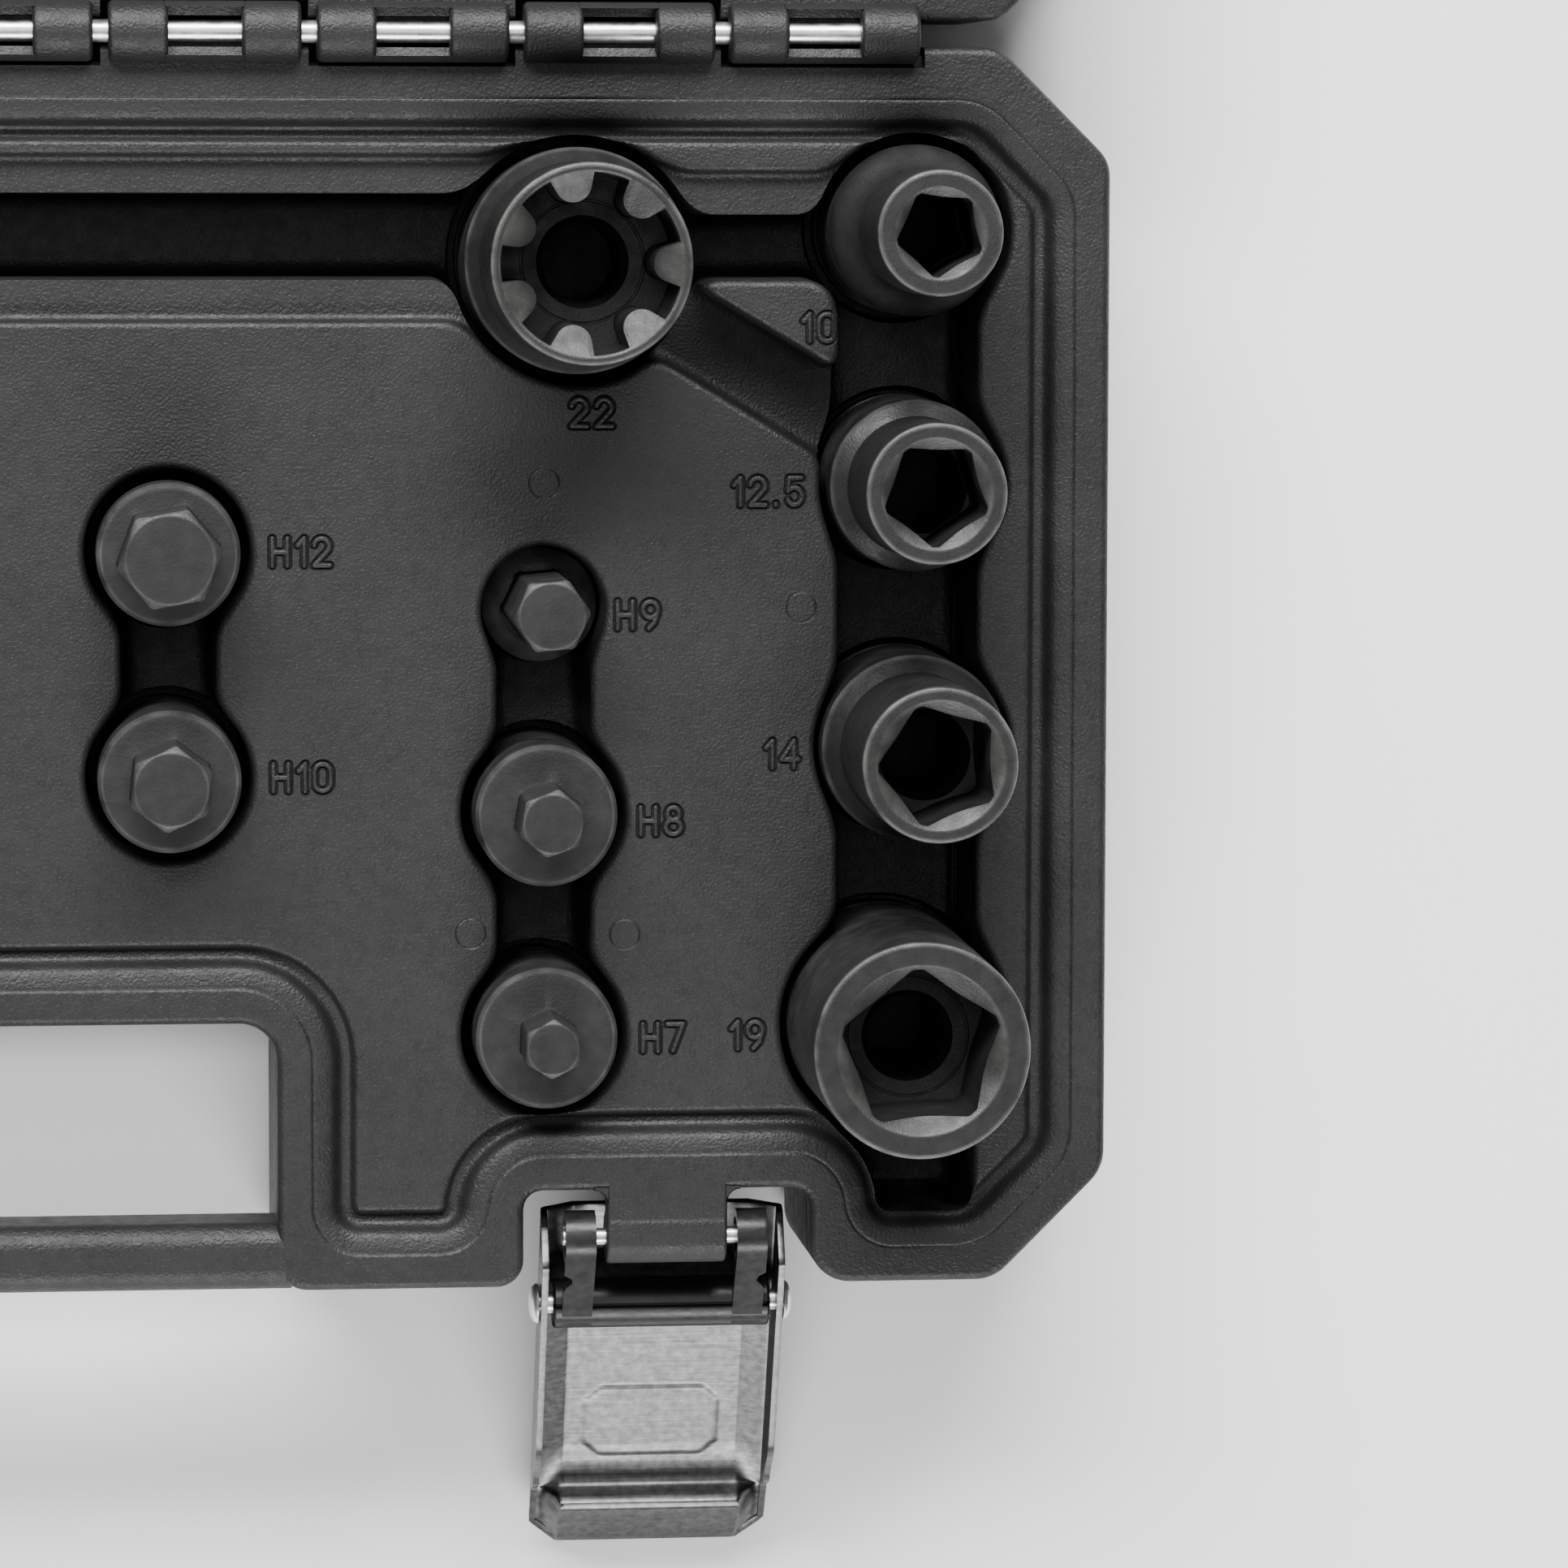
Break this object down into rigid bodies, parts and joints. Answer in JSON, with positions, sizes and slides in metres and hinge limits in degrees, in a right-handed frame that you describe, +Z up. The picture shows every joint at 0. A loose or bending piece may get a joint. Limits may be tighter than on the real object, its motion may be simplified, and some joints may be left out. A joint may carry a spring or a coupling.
{
  "type": "socket wrench set in case",
  "caption": "Flat moulded carry case, open on its hinge, with special-profile sockets and hex bits standing in fitted pockets and two draw latches on the front.",
  "frame": {"origin": "centre of the underside of the case's lower half, on the surface it stands on", "axes": "+X to the right, +Y from the latches towards the hinge and the open lid, +Z up"},
  "size_m": [0.295, 0.3771, 0.062],
  "materials": {
    "case_plastic": "fine grained matt black",
    "phosphated_steel": "black phosphate with worn edges",
    "brushed_lever": "bright zinc, finely brushed",
    "black_coated_steel": "black powder coat",
    "bright_steel": "bright drawn wire"
  },
  "bodies": {
    "base": {"base_outer_shell": "case_plastic", "base_inner_tray": "case_plastic", "hinge_pin": "bright_steel", "latch_pivot_pin_right": "bright_steel", "latch_pivot_pin_left": "bright_steel"},
    "lid": {"lid_outer_shell": "case_plastic", "lid_inner_skin": "case_plastic"},
    "link_right": {"latch_link_right": "black_coated_steel"},
    "lever_right": {"latch_lever_right": "brushed_lever", "latch_rivet_pin_right": "bright_steel"},
    "link_left": {"latch_link_left": "black_coated_steel"},
    "lever_left": {"latch_lever_left": "brushed_lever", "latch_rivet_pin_left": "bright_steel"},
    "socket_10": {"socket_10": "phosphated_steel"},
    "socket_12_5": {"socket_12_5": "phosphated_steel"},
    "socket_14": {"socket_14": "phosphated_steel"},
    "socket_19": {"socket_19": "phosphated_steel"},
    "socket_lobe_22": {"socket_lobe_22": "phosphated_steel"},
    "bit_hex_9": {"bit_hex_9": "phosphated_steel"},
    "bit_hex_8": {"bit_hex_8": "phosphated_steel"},
    "bit_hex_7": {"bit_hex_7": "phosphated_steel"},
    "bit_hex_12": {"bit_hex_12": "phosphated_steel"},
    "bit_hex_10": {"bit_hex_10": "phosphated_steel"},
    "bit_hex_16": {"bit_hex_16": "phosphated_steel"},
    "bit_hex_14": {"bit_hex_14": "phosphated_steel"},
    "socket_lobe_24": {"socket_lobe_24": "phosphated_steel"},
    "bit_hex_6": {"bit_hex_6": "phosphated_steel"},
    "bit_hex_5": {"bit_hex_5": "phosphated_steel"},
    "bit_hex_4": {"bit_hex_4": "phosphated_steel"},
    "socket_11": {"socket_11": "phosphated_steel"},
    "socket_13": {"socket_13": "phosphated_steel"},
    "socket_15": {"socket_15": "phosphated_steel"},
    "socket_17": {"socket_17": "phosphated_steel"}
  },
  "joints": [
    {"name": "lid_hinge", "type": "hinge", "parent": "base", "child": "lid", "pos_m": [0, 0.0845, 0.036], "axis": [1, 0, 0], "range_deg": [0, 180]},
    {"name": "latch_link_hinge_right", "type": "hinge", "parent": "base", "child": "link_right", "pos_m": [0.0882, -0.0765, 0.03225], "axis": [1, 0, 0], "range_deg": [0, 56]},
    {"name": "latch_lever_hinge_right", "type": "hinge", "parent": "link_right", "child": "lever_right", "pos_m": [0.0882, -0.0867, 0.025], "axis": [-1, 0, 0], "range_deg": [0, 171.51]},
    {"name": "latch_link_hinge_left", "type": "hinge", "parent": "base", "child": "link_left", "pos_m": [-0.0882, -0.0765, 0.03225], "axis": [1, 0, 0], "range_deg": [0, 56]},
    {"name": "latch_lever_hinge_left", "type": "hinge", "parent": "link_left", "child": "lever_left", "pos_m": [-0.0882, -0.0867, 0.025], "axis": [-1, 0, 0], "range_deg": [0, 171.51]},
    {"name": "lift_socket_10", "type": "slide", "parent": "base", "child": "socket_10", "axis": [0, 0, -1], "range_m": [-0.0257, 0]},
    {"name": "lift_socket_12_5", "type": "slide", "parent": "base", "child": "socket_12_5", "axis": [0, 0, -1], "range_m": [-0.0257, 0]},
    {"name": "lift_socket_14", "type": "slide", "parent": "base", "child": "socket_14", "axis": [0, 0, -1], "range_m": [-0.0257, 0]},
    {"name": "lift_socket_19", "type": "slide", "parent": "base", "child": "socket_19", "axis": [0, 0, -1], "range_m": [-0.0257, 0]},
    {"name": "lift_socket_lobe_22", "type": "slide", "parent": "base", "child": "socket_lobe_22", "axis": [0, 0, -1], "range_m": [-0.0257, 0]},
    {"name": "lift_bit_hex_9", "type": "slide", "parent": "base", "child": "bit_hex_9", "axis": [0, 0, -1], "range_m": [-0.0257, 0]},
    {"name": "lift_bit_hex_8", "type": "slide", "parent": "base", "child": "bit_hex_8", "axis": [0, 0, -1], "range_m": [-0.0257, 0]},
    {"name": "lift_bit_hex_7", "type": "slide", "parent": "base", "child": "bit_hex_7", "axis": [0, 0, -1], "range_m": [-0.0257, 0]},
    {"name": "lift_bit_hex_12", "type": "slide", "parent": "base", "child": "bit_hex_12", "axis": [0, 0, -1], "range_m": [-0.0257, 0]},
    {"name": "lift_bit_hex_10", "type": "slide", "parent": "base", "child": "bit_hex_10", "axis": [0, 0, -1], "range_m": [-0.0257, 0]},
    {"name": "lift_bit_hex_16", "type": "slide", "parent": "base", "child": "bit_hex_16", "axis": [0, 0, -1], "range_m": [-0.0257, 0]},
    {"name": "lift_bit_hex_14", "type": "slide", "parent": "base", "child": "bit_hex_14", "axis": [0, 0, -1], "range_m": [-0.0257, 0]},
    {"name": "lift_socket_lobe_24", "type": "slide", "parent": "base", "child": "socket_lobe_24", "axis": [0, 0, -1], "range_m": [-0.0257, 0]},
    {"name": "lift_bit_hex_6", "type": "slide", "parent": "base", "child": "bit_hex_6", "axis": [0, 0, -1], "range_m": [-0.0257, 0]},
    {"name": "lift_bit_hex_5", "type": "slide", "parent": "base", "child": "bit_hex_5", "axis": [0, 0, -1], "range_m": [-0.0257, 0]},
    {"name": "lift_bit_hex_4", "type": "slide", "parent": "base", "child": "bit_hex_4", "axis": [0, 0, -1], "range_m": [-0.0257, 0]},
    {"name": "lift_socket_11", "type": "slide", "parent": "base", "child": "socket_11", "axis": [0, 0, -1], "range_m": [-0.0257, 0]},
    {"name": "lift_socket_13", "type": "slide", "parent": "base", "child": "socket_13", "axis": [0, 0, -1], "range_m": [-0.0257, 0]},
    {"name": "lift_socket_15", "type": "slide", "parent": "base", "child": "socket_15", "axis": [0, 0, -1], "range_m": [-0.0257, 0]},
    {"name": "lift_socket_17", "type": "slide", "parent": "base", "child": "socket_17", "axis": [0, 0, -1], "range_m": [-0.0257, 0]}
  ],
  "couplings": [
    {"joint": "latch_lever_hinge_right", "follows": "latch_link_hinge_right", "ratio": 3.0625},
    {"joint": "latch_lever_hinge_left", "follows": "latch_link_hinge_left", "ratio": 3.0625}
  ]
}
